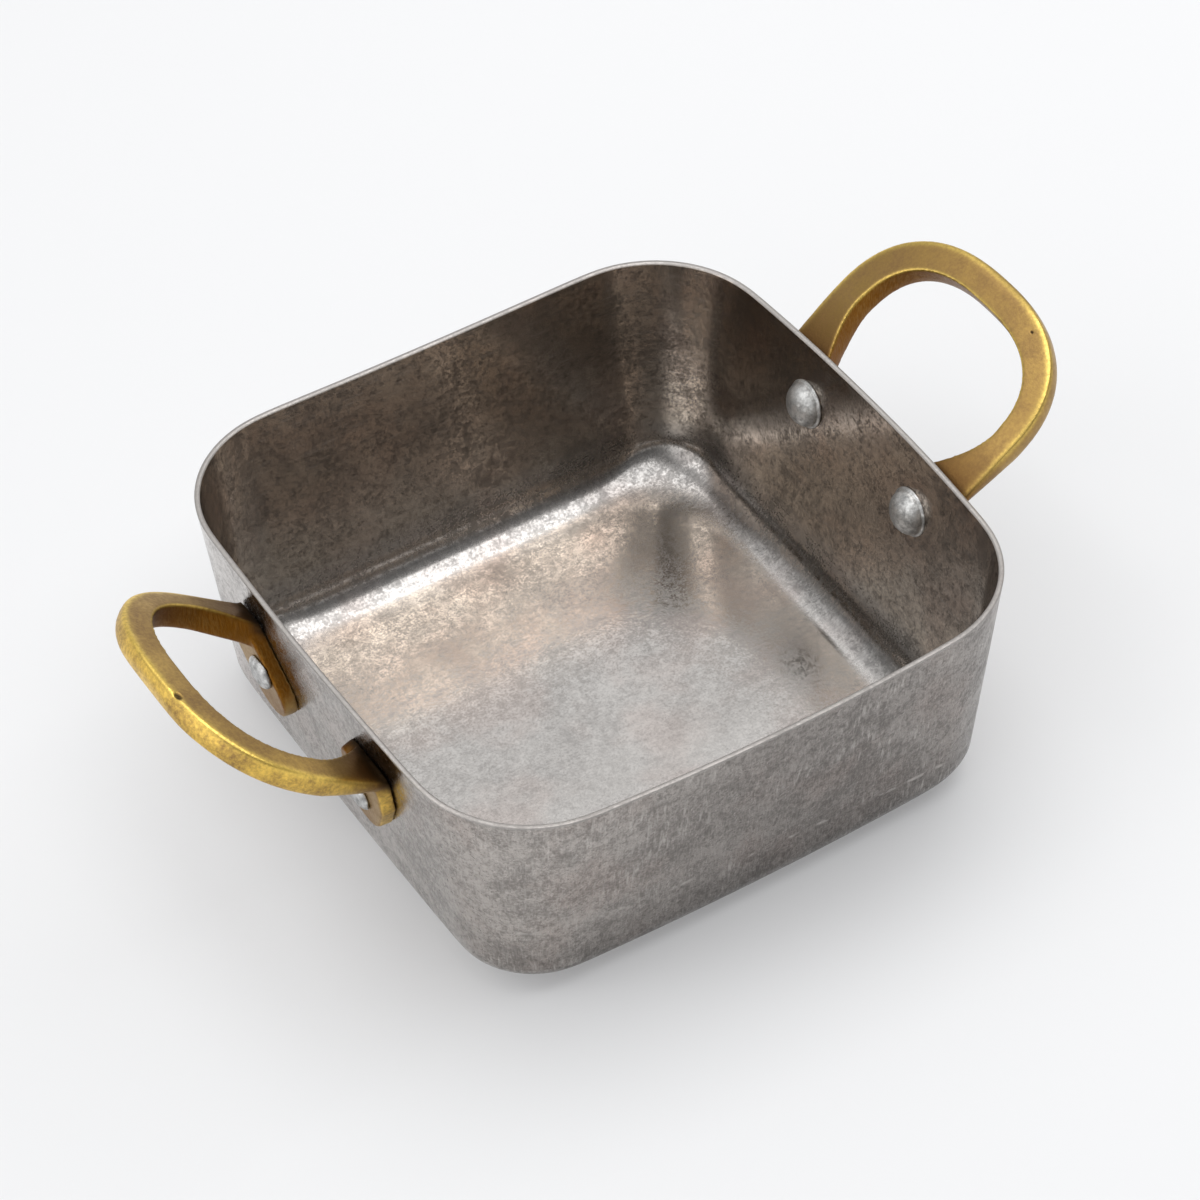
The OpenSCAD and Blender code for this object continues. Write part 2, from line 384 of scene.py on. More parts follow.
def loop_edges(sizes, station):
    """Inner and outer edge at a station, and the wall's pull on it: 1 at the wall, 0 beyond the leg."""
    last = 2 * LEG_STEPS + TURN_STEPS
    near = min(station, last - station)
    hand = 1 if station > last / 2 else -1
    if near < LEG_STEPS:
        along = LEG_RUN * near / LEG_STEPS
        pull = (1 - along / LEG_RUN) ** FLARE_POWER
        inner = (along, hand * (sizes["inner_half"][hand > 0] - sizes["flare"][hand > 0] * pull))
        outer = (along, hand * (sizes["outer_half"][hand > 0] + sizes["outer_flare"][hand > 0] * pull))
        return inner, outer, pull
    angle = pi * (station - LEG_STEPS) / TURN_STEPS - pi / 2
    inner = (LEG_RUN + (sizes["inner_reach"] - LEG_RUN) * squared(cos(angle), INNER_SQUARENESS),
             sizes["inner_half"][hand > 0] * squared(sin(angle), INNER_SQUARENESS))
    outer = (LEG_RUN + (sizes["outer_reach"] - LEG_RUN) * squared(cos(angle), OUTER_SQUARENESS),
             sizes["outer_half"][hand > 0] * squared(sin(angle), OUTER_SQUARENESS))
    return inner, outer, 0


def loop_section(sizes, station):
    """Points of the bar's section at a station, in wall coordinates."""
    inner, outer, pull = loop_edges(sizes, station)
    slope = radians(sizes["rise"]) + WALL_LEAN
    tilt = slope * (1 - pull)
    points = []
    for across, down in BAR_SECTION:
        along = inner[0] + (outer[0] - inner[0]) * across
        side = inner[1] + (outer[1] - inner[1]) * across
        thinning = 1
        if down > UPPER_PART:
            thinning = 1 - ROOT_THINNING * pull ** THINNING_POWER * max(0, across)
        fillet = 0
        if pull:
            fillet = ROOT_FILLET * max(0, 1 - inner[0] / FILLET_RUN) ** 2 * (1 - max(0, across))
        depth = (BAR_DEPTH + ROOT_GAIN * pull + fillet) * down * thinning
        points.append(Vector((along * cos(slope) + depth * sin(tilt), side,
                              along * sin(slope) - depth * cos(tilt))))
    return points


print("the loops are lofted through", 2 * LEG_STEPS + TURN_STEPS + 1, "sections")

# %% Feet of the handles
FOOT_THICKNESS = 2.8
# How deep the foot is let into the wall's surface
FOOT_SINK = 0.1
# How much wider the foot is on the wall, and how much narrower at its face
FOOT_WIDER = 0.25
FOOT_NARROWER = 0.15
FOOT_SEGMENTS = 40
RIVET_SIDE = 17.6
RIVET_DROP = 9.8
# Round parts of a foot's outline: distance from the handle's middle, drop below the leg's top, radius.
# The upper inner one is at the handle's foot_top.
FOOT_ROUNDS = [(25.3, 2.4, 2.2), (0.0, 2.4, 2.3), (22.3, 8.0, 5.0), (17.6, 13.3, 6.2)]


def add_foot(mesh, hand, top, drop, shift):
    """A flat foot plate: the hull around four short pegs, a little narrower at its face than on the wall."""
    pegs = []
    for away, down, radius in FOOT_ROUNDS:
        away = away + shift if away > RIVET_SIDE else away or top
        lowering = drop * (down / FOOT_ROUNDS[-1][1]) ** 2
        place = Matrix.Translation((FOOT_THICKNESS / 2 - FOOT_SINK, hand * away, -down - lowering))
        place = place @ Matrix.Rotation(pi / 2, 4, "Y")
        pegs += bmesh.ops.create_cone(mesh, cap_ends=True, segments=FOOT_SEGMENTS,
                                      radius1=radius + FOOT_WIDER, radius2=radius - FOOT_NARROWER,
                                      depth=FOOT_THICKNESS, matrix=place)["verts"]
    hull = bmesh.ops.convex_hull(mesh, input=pegs)
    inside = [item for item in hull["geom_interior"] if isinstance(item, bmesh.types.BMVert)]
    bmesh.ops.delete(mesh, geom=inside, context="VERTS")


# %% Cast one handle
CASTING_VOXEL = 0.27
EDGE_SMOOTHING = 14
LIMIT_SOFTNESS = 0.8
LIMIT_MARGIN = 0.02


def cast_handle(name):
    """Lofts the loop, adds its feet and fuses them into one skin."""
    sizes = HANDLE_SIZES[name]
    casting = bmesh.new()
    ring = first_ring(casting, loop_section(sizes, 0))
    start = list(ring)
    for station in range(1, 2 * LEG_STEPS + TURN_STEPS + 1):
        ring = grow_ring(casting, ring, loop_section(sizes, station))
    bmesh.ops.contextual_create(casting, geom=start)
    bmesh.ops.contextual_create(casting, geom=ring)
    for hand, top, drop, shift in zip((-1, 1), sizes["foot_top"], sizes["foot_drop"], sizes["foot_side"]):
        add_foot(casting, hand, top, drop, shift)
    bmesh.ops.transform(casting, matrix=wall_place(sizes), verts=casting.verts)
    piece = finish_piece(casting, name + "_casting", name)
    fuse(piece)
    keep_inside(piece)
    return piece


def keep_inside(piece):
    """Eases the tip of the loop back under the limits of the CAD box, without an edge."""
    side = 1 if piece.name.startswith("right") else -1
    for axis, way in ((0, side), (2, 1)):
        start = abs(cad_box[way > 0][axis]) / MM - LIMIT_MARGIN - LIMIT_SOFTNESS
        for vert in piece.data.vertices:
            over = way * vert.co[axis] / MM - start
            if over > 0:
                eased = start + LIMIT_SOFTNESS * tanh(over / LIMIT_SOFTNESS)
                vert.co[axis] = way * eased * MM


def fuse(piece):
    """Voxel remesh and smoothing, applied to the mesh."""
    remesh = piece.modifiers.new("fuse", "REMESH")
    remesh.mode = "VOXEL"
    remesh.voxel_size = CASTING_VOXEL * MM
    remesh.use_smooth_shade = True
    smooth = piece.modifiers.new("file the edges", "SMOOTH")
    smooth.factor = 0.5
    smooth.iterations = EDGE_SMOOTHING
    evaluated = piece.evaluated_get(bpy.context.evaluated_depsgraph_get())
    fused = bpy.data.meshes.new_from_object(evaluated)
    piece.modifiers.clear()
    old = piece.data
    piece.data = fused
    bpy.data.meshes.remove(old)


handles = [cast_handle(name) for name in HANDLE_SIZES]
for piece in handles:
    print(piece.name, len(piece.data.polygons), "faces")

# %% [markdown]
# ### Rubbed edges, painted shade at the roots, and pits
# Hands polish the edges of an old casting. Where it meets the wall and inside the loop it is painted dark
# brown, which is painted shade, darkest in the crevice at the wall; the left loop's outer face is painted
# bright, a painted reflection. Each of these places is a value that the material reads. The loft knows
# where its two upper edges run, so each vertex of the fused skin keeps its distance to them as a mask.
# Curvature would find the edges too, but a voxel skin is stepped, and its edges would come out jagged.
# Each casting also has a small pit on its top, left by a bubble in the metal.

# %% Masks of the castings
# Points on each polished edge between two sections of the loft
EDGE_POINTS = 24
# Share of an edge's length at its ends over which the polish comes in
EDGE_FADE = 1 / 7
# The two polished edges: their places in the bar's section, how wide they are in mm and how bright
POLISHED_EDGES = [(0, 0.34, 1.0), (3, 0.70, 0.70)]
# Each pit: its place, radius and depth
PITS = {"right_handle": (Vector((87.1, -12.8, 64.1)), 0.36, 0.08),
        "left_handle": (Vector((-88.4, -6.2, 62.2)), 0.80, 0.42)}
PIT_STRETCH = 0.7
# How full the pit's dent and its dirt are: a lower power reaches nearer its edge
PIT_POWERS = (0.7, 0.5)
# How far from the wall the painted shade in the crevice and the painted brown shade of the root reach, in
# mm, and how far below the root's top they end
CREVICE_SHADE_RUN = (3.2, 0)
ROOT_SHADE_RUN = (10.2, 1.7)
ROOT_END = (4, 1)
# How squarely a face has to look into or out of the loop
INSIDE_RUN = (0.45, 0.75)
OUTSIDE_RUN = (0.10, 0.40)
# Middle of the loop, as a share of the legs' run
LOOP_MIDDLE = 0.8


def edge_mask(sizes, points):
    """How near each point is to the polished edges of the loft."""
    mask = np.zeros(len(points))
    place = wall_place(sizes)
    last = 2 * LEG_STEPS + TURN_STEPS
    for corner, width, strength in POLISHED_EDGES:
        line = [place @ loop_section(sizes, step / EDGE_POINTS)[corner] / MM
                for step in range(EDGE_POINTS * last + 1)]
        tree = kdtree.KDTree(len(line))
        for number, point in enumerate(line):
            tree.insert(point, number)
        tree.balance()
        for number, point in enumerate(points):
            _, nearest, distance = tree.find(point)
            if distance < 3 * width:
                share = nearest / len(line)
                fade = min(1, share / EDGE_FADE, (1 - share) / EDGE_FADE)
                mask[number] = max(mask[number], fade * strength * np.exp(-(distance / width) ** 2))
    return mask


def dent_pit(piece, points, normals, pit):
    """Presses the pit into the skin and gives back its mask."""
    place, radius, depth = pit
    middle = points[np.argmin(((points - np.array(place)) ** 2).sum(1))]
    offset = points - middle
    offset[:, 1] *= PIT_STRETCH
    share = np.clip(1 - (offset ** 2).sum(1) / radius ** 2, 0, 1)
    moved = (points - normals * (depth * share ** PIT_POWERS[0])[:, None]) * MM
    piece.data.vertices.foreach_set("co", moved.ravel())
    return share ** PIT_POWERS[1]


for piece in handles:
    count = len(piece.data.vertices)
    points = np.zeros(count * 3)
    normals = np.zeros(count * 3)
    piece.data.vertices.foreach_get("co", points)
    piece.data.vertices.foreach_get("normal", normals)
    points, normals = points.reshape(-1, 3) / MM, normals.reshape(-1, 3)
    name = piece.name.replace("_casting", "")
    sizes = HANDLE_SIZES[name]
    wall = sizes["wall_at_rim"] - (PAN_HEIGHT - points[:, 2]) * tan(WALL_LEAN)
    gap = np.abs(points[:, 0]) - wall
    root_top = PAN_HEIGHT - sizes["drop"]
    root = ramp(points[:, 2], *[root_top - below for below in ROOT_END])
    # In the plane of the loop: how far each point lies from its middle, and where its normal looks
    slope = radians(sizes["rise"])
    reach = np.abs(points[:, 0]) - sizes["wall_at_rim"]
    reach = reach * cos(slope) + (points[:, 2] - PAN_HEIGHT) * sin(slope)
    outward = np.stack([reach - LEG_RUN * LOOP_MIDDLE, points[:, 1] - sizes["middle"]], 1)
    outward /= np.linalg.norm(outward, axis=1)[:, None]
    look = normals[:, 0] * sizes["side"] * cos(slope) + normals[:, 2] * sin(slope)
    facing_out = (np.stack([look, normals[:, 1]], 1) * outward).sum(1)
    pit = dent_pit(piece, points, normals, PITS[name])
    store_values(piece, "loop_inside", ramp(-facing_out, *INSIDE_RUN))
    # Only the left loop's outer face is painted bright yellow: a painted reflection
    store_values(piece, "painted_bright_face", ramp(facing_out, *OUTSIDE_RUN) * (sizes["side"] < 0))
    store_values(piece, "rubbed_edge", edge_mask(sizes, points))
    # Painted shade: the root is painted dark brown towards the wall
    store_values(piece, "painted_root_shade", ramp(gap, *ROOT_SHADE_RUN) * root)
    # Painted shade in the crevice at the wall, and real dirt in the pit
    store_values(piece, "pit_dirt_and_crevice_shade", np.maximum(ramp(gap, *CREVICE_SHADE_RUN) * root, pit))
    print(piece.name, "has", count, "vertices")

# %% [markdown]
# ## The rivets
# A rivet is pushed through wall and foot from inside, and its end is hammered flat outside. Inside it
# shows a smooth dome with a thin flange, outside a low, uneven button. A profile that is spun round the
# rivet's axis gives both, and noise roughens the hammered end.

# %% Rivets
HEAD_RADIUS = 4.9
HEAD_RISE = 3.6
FLANGE = 0.5
SHANK_RADIUS = 2.35
TAIL_RADIUS = 3.5
TAIL_RISE = 1.35
SPIN_STEPS = 72
DOME_STEPS = 14
# How full the dome and the hammered end are: a lower power of the cosine or sine is fuller
DOME_POWER = 1.1
TAIL_POWERS = (0.8, 0.45)
# The dome ends this far inside the head's edge, and the hammered end starts this far inside its own
DOME_MARGIN = 0.45
TAIL_MARGIN = 0.25
# The flange's rounded edge: height off the wall, and how far inside the head's radius
FLANGE_EDGE = ((0.05 - FLANGE, 0.2), (-0.28, 0.0), (-0.05, 0.04), (0.0, 0.3))


def rivet_profile():
    """Half section of a rivet: height along its axis, then radius, from the head's top to the tail's end."""
    foot_face = FOOT_THICKNESS - FOOT_SINK
    for step in range(DOME_STEPS + 1):
        angle = pi / 2 * step / DOME_STEPS
        rise = FLANGE + (HEAD_RISE - FLANGE) * cos(angle) ** DOME_POWER
        yield -SHEET - rise, (HEAD_RADIUS - DOME_MARGIN) * sin(angle)
    for height, inside in FLANGE_EDGE:
        yield height - SHEET, HEAD_RADIUS - inside
    yield -SHEET, SHANK_RADIUS
    yield foot_face, SHANK_RADIUS
    yield foot_face, TAIL_RADIUS - TAIL_MARGIN
    for step in range(1, DOME_STEPS + 1):
        angle = pi / 2 * step / DOME_STEPS
        rise = TAIL_RISE * sin(angle) ** TAIL_POWERS[0]
        yield foot_face + rise, TAIL_RADIUS * cos(angle) ** TAIL_POWERS[1]


# How far each right-hand head sits off its shank: along the wall and down it
HEAD_SHIFT = {("right_handle", -1): (1.2, 0.3), ("right_handle", 1): (0.4, -0.5)}
# The hammering moves the tail's end by a slow noise: how slow, and how far each way
HAMMER_FINENESS = 0.55
HAMMER_SHIFT = Vector((0.35, 0.30, 0.30))
NEARLY = 0.01
WELD = 0.001


def set_rivet(name, handle, hand):
    """Spins one rivet and puts it through the wall and the foot of its handle."""
    sizes = HANDLE_SIZES[handle]
    rivet = bmesh.new()
    chain = [rivet.verts.new((height, radius, 0)) for height, radius in rivet_profile()]
    edges = [rivet.edges.new(pair) for pair in zip(chain, chain[1:])]
    bmesh.ops.spin(rivet, geom=chain + edges, cent=(0, 0, 0), axis=(1, 0, 0), angle=2 * pi,
                   steps=SPIN_STEPS, use_merge=True)
    bmesh.ops.remove_doubles(rivet, verts=rivet.verts, dist=WELD)
    along, down = HEAD_SHIFT.get((handle, hand), (0, 0))
    # Each rivet is hammered by its own part of the noise
    own_noise = Vector((0, 40 * hand, 11 * sizes["side"]))
    for vert in rivet.verts:
        under_flange = vert.co.x < -SHEET + NEARLY and vert.co.yz.length > SHANK_RADIUS + NEARLY
        if under_flange or vert.co.x < -SHEET - NEARLY:
            vert.co += Vector((0, along, -down))
        if vert.co.x > FOOT_THICKNESS - FOOT_SINK + NEARLY:
            vert.co += HAMMER_SHIFT * noise_shift(vert.co * HAMMER_FINENESS + own_noise)
    bmesh.ops.translate(rivet, vec=(0, hand * RIVET_SIDE, -RIVET_DROP), verts=rivet.verts)
    bmesh.ops.transform(rivet, matrix=wall_place(sizes), verts=rivet.verts)
    return finish_piece(rivet, name + "_set", name)


rivets = []
for handle in HANDLE_SIZES:
    for hand, end in ((-1, "front"), (1, "rear")):
        rivets.append(set_rivet(handle.replace("handle", end + "_rivet"), handle, hand))
print("rivets:", [piece.name for piece in rivets])

# %% [markdown]
# ## Helpers for materials
# A finish is built from small effects, each made once as a node group: clouds of patina, drawn lines,
# a fine grain. Every metal then places the groups it needs, with its own sizes.

# %% Material helpers
def put(tree, kind, inputs=(), **settings):
    """Adds a node: settings are its properties, inputs its values or the sockets linked to it."""
    made = tree.nodes.new(kind)
    for name, value in settings.items():
        setattr(made, name, value)
    for name, value in dict(inputs).items():
        if isinstance(value, bpy.types.NodeSocket):
            tree.links.new(value, made.inputs[name])
        else:
            made.inputs[name].default_value = value
    return made


def calculate(tree, operation, first, second=0.0):
    """A Math node on two values or sockets."""
    return put(tree, "ShaderNodeMath", {0: first, 1: second}, operation=operation).outputs[0]


def times(tree, first, second):
    """A mask at a share of its strength, or where it overlaps another one."""
    return calculate(tree, "MULTIPLY", first, second)


def add_up(tree, start, *parts):
    """A value plus masks, each of them times its own weight."""
    total = start
    for mask, weight in parts:
        total = calculate(tree, "ADD", total, times(tree, mask, weight))
    return total


def blend_colours(tree, factor, low, high, way="MIX"):
    """Mixes two colours by a mask."""
    mix = put(tree, "ShaderNodeMix", {0: factor, 6: low, 7: high}, data_type="RGBA", blend_type=way)
    return mix.outputs[2]


def spread(tree, value, low, high, start=0.0, end=1.0):
    """Maps the values from low to high onto the values from start to end, with soft ends."""
    return put(tree, "ShaderNodeMapRange", {"Value": value, "From Min": low, "From Max": high,
                                            "To Min": start, "To Max": end},
               interpolation_type="SMOOTHSTEP").outputs[0]


def new_group(name, inputs, output):
    """An empty node group with named inputs and one named output."""
    group = bpy.data.node_groups.new(name, "ShaderNodeTree")
    for label, kind, value in inputs:
        socket = group.interface.new_socket(label, in_out="INPUT", socket_type=kind)
        if value is not None:
            socket.default_value = value
    group.interface.new_socket(output, in_out="OUTPUT", socket_type="NodeSocketFloat")
    return group, put(group, "NodeGroupInput").outputs, put(group, "NodeGroupOutput").inputs


def use(tree, group, **inputs):
    """Places a node group, sets its inputs and gives back its output."""
    placed = put(tree, "ShaderNodeGroup", node_tree=group)
    for name, value in inputs.items():
        socket = placed.inputs[name.replace("_", " ")]
        if isinstance(value, bpy.types.NodeSocket):
            tree.links.new(value, socket)
        else:
            socket.default_value = value
    return placed.outputs[0]


# %% Patina clouds
patina_clouds, given, out = new_group("Patina clouds", [
    ("Place", "NodeSocketVector", None), ("Size", "NodeSocketFloat", 5.0),
    ("Roughness", "NodeSocketFloat", 0.6), ("Low", "NodeSocketFloat", 0.4),
    ("High", "NodeSocketFloat", 0.6)], "Mask")
scale = calculate(patina_clouds, "DIVIDE", 1.0, given["Size"])
settings = {"Vector": given["Place"], "Scale": scale, "Detail": 7.0, "Roughness": given["Roughness"]}
clouds = put(patina_clouds, "ShaderNodeTexNoise", settings).outputs[0]
patina_clouds.links.new(spread(patina_clouds, clouds, given["Low"], given["High"]), out["Mask"])

# %% Drawn lines
drawn_lines, given, out = new_group("Drawn lines", [
    ("Place", "NodeSocketVector", None), ("Fineness", "NodeSocketVector", (1.0, 1.0, 1.0)),
    ("Low", "NodeSocketFloat", 0.5), ("High", "NodeSocketFloat", 0.7)], "Mask")
stretched = put(drawn_lines, "ShaderNodeVectorMath", {0: given["Place"], 1: given["Fineness"]},
                operation="MULTIPLY").outputs[0]
settings = {"Vector": stretched, "Scale": 1.0, "Detail": 3.0, "Roughness": 0.6}
lines = put(drawn_lines, "ShaderNodeTexNoise", settings).outputs[0]
drawn_lines.links.new(spread(drawn_lines, lines, given["Low"], given["High"]), out["Mask"])
print("node groups:", [group.name for group in bpy.data.node_groups])


# %% Start of every metal
# Noise repeats itself in ever smaller copies around its own origin, so that point is moved off the object
NOISE_ORIGIN = (137.0, 219.0, 83.0)


def new_metal(name):
    """A material with its shader and its place in the noise, in millimetres."""
    material = bpy.data.materials.new(name)
    material.use_nodes = True
    tree = material.node_tree
    return material, tree, tree.nodes["Principled BSDF"], millimetres(tree, NOISE_ORIGIN)


def millimetres(tree, origin=(0, 0, 0)):
    """The place on the object in millimetres, counted from an origin."""
    where = put(tree, "ShaderNodeTexCoord").outputs["Object"]
    settings = {"Vector": where, "Location": origin, "Scale": (1 / MM, 1 / MM, 1 / MM)}
    return put(tree, "ShaderNodeMapping", settings).outputs[0]


def stored(tree, name):
    """Reads a value that is stored on the vertices."""
    return put(tree, "ShaderNodeAttribute", attribute_name=name).outputs["Fac"]


# %% [markdown]
# ## Antiqued steel
# The tumbled steel is a patchwork: millimetre-sized grey spots on broad clouds, browner on the inner
# walls and cleaner on the floor. Painted shade darkens the upper inner walls, the bend, the front outside,
# the floor but for its rear left part, and the rim. Faint upright scuffs run over the outside. A metal
# gets its look from its base colour and from how rough it is, so the same masks drive both.

# %% Tones of the steel
# Each zone has a pale tone and a grey one, and the patina mixes them
FLOOR_TONES = ((0.88, 0.845, 0.810, 1), (0.47, 0.450, 0.432, 1))
WALL_TONES = ((0.90, 0.800, 0.690, 1), (0.29, 0.256, 0.222, 1))
OUTER_TONES = ((0.50, 0.463, 0.433, 1), (0.25, 0.230, 0.214, 1))
ROSE_TINT = (1.0, 0.95, 0.935, 1)
UPPER_WALL_PAINTED_SHADE = (0.62, 0.61, 0.61, 1)
BEND_PAINTED_SHADE = (0.58, 0.58, 0.585, 1)
FRONT_PAINTED_SHADE = (0.61, 0.603, 0.599, 1)
FLOOR_PAINTED_SHADE = (0.70, 0.705, 0.71, 1)
LOW_PAINTED_SHADE = (0.52, 0.515, 0.51, 1)
SCUFF_TONE = (0.72, 0.68, 0.645, 1)
RIM_PAINTED_SHADE = (0.40, 0.38, 0.365, 1)

pan_steel, tree, shader, place = new_metal("antiqued_steel")
broad = use(tree, patina_clouds, Place=place, Size=17.0, Roughness=0.6, Low=0.22, High=0.78)
clumps = use(tree, patina_clouds, Place=place, Size=4.2, Roughness=0.6, Low=0.20, High=0.80)
spots = use(tree, patina_clouds, Place=place, Size=1.5, Roughness=0.68, Low=0.24, High=0.76)
specks = use(tree, patina_clouds, Place=place, Size=0.50, Roughness=0.6, Low=0.24, High=0.76)
patina = add_up(tree, 0.0, (broad, 0.20), (clumps, 0.20), (spots, 0.30), (specks, 0.30))
patina = spread(tree, patina, 0.28, 0.72)
inner = stored(tree, "inner_wall")
floor_area = stored(tree, "floor_zone")
rim = stored(tree, "rim_zone")
outside = calculate(tree, "SUBTRACT", calculate(tree, "SUBTRACT", 1.0, inner), floor_area)
colour = blend_colours(tree, patina, *OUTER_TONES)
colour = blend_colours(tree, inner, colour, blend_colours(tree, patina, *WALL_TONES))
colour = blend_colours(tree, floor_area, colour, blend_colours(tree, patina, *FLOOR_TONES))
# Painted shade: the upper part of the inner walls is darkened
colour = blend_colours(tree, stored(tree, "upper_wall"), colour, UPPER_WALL_PAINTED_SHADE, "MULTIPLY")
# The bend is streaky and darkened by painted shade, which dims its highlight. The front was tumbled most, so
# it is rougher.
in_bend = stored(tree, "bend_zone")
streaks = use(tree, drawn_lines, Place=place, Fineness=(0.9, 0.9, 0.2), Low=0.36, High=0.64)
painted_bend_shade = times(tree, in_bend, spread(tree, streaks, 0.0, 1.0, 0.7, 1.0))
colour = blend_colours(tree, painted_bend_shade, colour, BEND_PAINTED_SHADE, "MULTIPLY")
across = put(tree, "ShaderNodeSeparateXYZ", {"Vector": millimetres(tree)}).outputs
front = times(tree, spread(tree, across["Y"], -54.0, -38.0, 1.0, 0.0), outside)
# Painted shade: the front outside is darker towards its right, where it mirrors the shadowed floor
front_right_shade = times(tree, front, spread(tree, across["X"], -60.0, 5.0))
colour = blend_colours(tree, front_right_shade, colour, FRONT_PAINTED_SHADE, "MULTIPLY")
# Painted shade: the front outside is darker towards the bottom, where it mirrors the shadowed floor next to
# the pan
low = times(tree, spread(tree, across["Z"], 3.0, 20.0, 1.0, 0.0), front)
colour = blend_colours(tree, low, colour, LOW_PAINTED_SHADE, "MULTIPLY")
# Painted shade darkens the floor but for its rear left part, which is left brighter as a painted reflection
brighter_floor_corner = times(tree, spread(tree, across["Y"], 8.0, 26.0), spread(tree, across["X"], 36.0, 14.0))
painted_floor_shade = times(tree, calculate(tree, "SUBTRACT", 1.0, brighter_floor_corner), floor_area)
colour = blend_colours(tree, painted_floor_shade, colour, FLOOR_PAINTED_SHADE, "MULTIPLY")
rose = use(tree, patina_clouds, Place=place, Size=15.0, Roughness=0.5, Low=0.45, High=0.70)
colour = blend_colours(tree, rose, colour, ROSE_TINT, "MULTIPLY")

# %% Scuffs and worn line
# A faint broken line runs along the front where the bend begins, and sinks to the right
LINE_HEIGHT = 15.3
LINE_FALL = 0.079
# How strong each kind of scuff is
UPRIGHT_SHARE = 0.42
SLANTED_SHARE = 0.28
LINE_SHARE = 0.5
HAIR_SHARE = 0.17

upright_lines = use(tree, drawn_lines, Place=place, Fineness=(1.5, 1.5, 0.045), Low=0.48, High=0.70)
upright_area = use(tree, patina_clouds, Place=place, Size=12.0, Roughness=0.5, Low=0.47, High=0.62)
hairs = use(tree, drawn_lines, Place=place, Fineness=(3.0, 3.0, 0.22), Low=0.42, High=0.72)
slanted_place = put(tree, "ShaderNodeMapping", {"Vector": place, "Rotation": (0.5, 0.7, 0.0)}).outputs[0]
slanted = use(tree, drawn_lines, Place=slanted_place, Fineness=(0.55, 0.55, 3.0), Low=0.64, High=0.74)
along_floor = use(tree, drawn_lines, Place=place, Fineness=(0.10, 3.2, 1.0), Low=0.5, High=0.72)
line_height = add_up(tree, LINE_HEIGHT, (across["X"], -LINE_FALL))
off_line = calculate(tree, "ABSOLUTE", calculate(tree, "SUBTRACT", across["Z"], line_height))
on_line = times(tree, spread(tree, off_line, 0.15, 0.7, 1.0, 0.0), spread(tree, clumps, 0.45, 0.8))
worn_line = times(tree, on_line, front)
scuffs = times(tree, times(tree, upright_lines, upright_area), UPRIGHT_SHARE)
for mask, share in ((slanted, SLANTED_SHARE), (worn_line, LINE_SHARE), (hairs, HAIR_SHARE)):
    scuffs = calculate(tree, "MAXIMUM", scuffs, times(tree, mask, share))
scuffs = times(tree, scuffs, outside)
colour = blend_colours(tree, scuffs, colour, SCUFF_TONE)
along_wall = use(tree, drawn_lines, Place=place, Fineness=(0.2, 0.2, 3.4), Low=0.50, High=0.74)
brushed_floor = times(tree, along_floor, floor_area)
brushed_walls = times(tree, along_wall, inner)
brushed = add_up(tree, 0.0, (brushed_floor, 0.18), (brushed_walls, 0.3))
colour = blend_colours(tree, brushed, colour, SCUFF_TONE)
# Painted shade: the rim is mixed towards a darker grey, which dims its highlight
colour = blend_colours(tree, times(tree, rim, 0.8), colour, RIM_PAINTED_SHADE)
tree.links.new(colour, shader.inputs["Base Color"])

# %% Gloss and grain of the steel
# The height is a plain soft noise: masks with steep sides would look etched into the metal
roughness = spread(tree, patina, 0.15, 0.85, 0.12, 0.27)
roughness = add_up(tree, roughness, (front, 0.14), (in_bend, 0.05), (rim, 0.22), (scuffs, 0.08))
tree.links.new(roughness, shader.inputs["Roughness"])
shader.inputs["Metallic"].default_value = 1.0
settings = {"Vector": place, "Scale": 1.6, "Detail": 3.0, "Roughness": 0.55}
fine = put(tree, "ShaderNodeTexNoise", settings).outputs[0]
grain = add_up(tree, 0.0, (fine, spread(tree, outside, 0.0, 1.0, 0.6, 2.4)), (scuffs, 0.5))
bump = put(tree, "ShaderNodeBump", {"Strength": 0.12, "Distance": 0.00016, "Height": grain})
tree.links.new(bump.outputs[0], shader.inputs["Normal"])
pan_shell.data.materials.append(pan_steel)

# %% [markdown]
# ## Aged brass
# The casting is brown gold on its faces and bright yellow where it is rubbed, and its pits hold dark wax
# and dirt. Painted shade darkens it in the crevice at the wall, at its roots and inside the loop, and the
# left loop's outer face is painted bright yellow as a painted reflection. Fine file marks cross the bar.
# The stored values place these marks.

# %% Aged brass
FACE_BRASS = (0.43, 0.276, 0.085, 1)
OUTER_PAINTED_REFLECTION = (0.98, 0.665, 0.135, 1)
TARNISHED_BRASS = (0.25, 0.152, 0.066, 1)
INNER_PAINTED_SHADE = (0.17, 0.066, 0.006, 1)
ROOT_PAINTED_SHADE = (0.165, 0.082, 0.028, 1)
RUBBED_BRASS = (0.92, 0.68, 0.17, 1)
DARK_WAX_AND_SHADE = (0.040, 0.026, 0.015, 1)

handle_brass, tree, shader, place = new_metal("aged_brass")
tarnish = use(tree, patina_clouds, Place=place, Size=7.0, Roughness=0.6, Low=0.28, High=0.72)
spots = use(tree, patina_clouds, Place=place, Size=0.7, Roughness=0.7, Low=0.26, High=0.74)
file_marks = use(tree, drawn_lines, Place=place, Fineness=(3.2, 2.2, 0.5), Low=0.34, High=0.68)
edge = stored(tree, "rubbed_edge")
pit_dirt_and_crevice_shade = stored(tree, "pit_dirt_and_crevice_shade")
inside = stored(tree, "loop_inside")
tarnish = add_up(tree, 0.0, (tarnish, 0.50), (spots, 0.52))
# Painted reflection: the left loop's outer face is painted bright yellow
colour = blend_colours(tree, stored(tree, "painted_bright_face"), FACE_BRASS, OUTER_PAINTED_REFLECTION)
colour = blend_colours(tree, tarnish, colour, TARNISHED_BRASS)
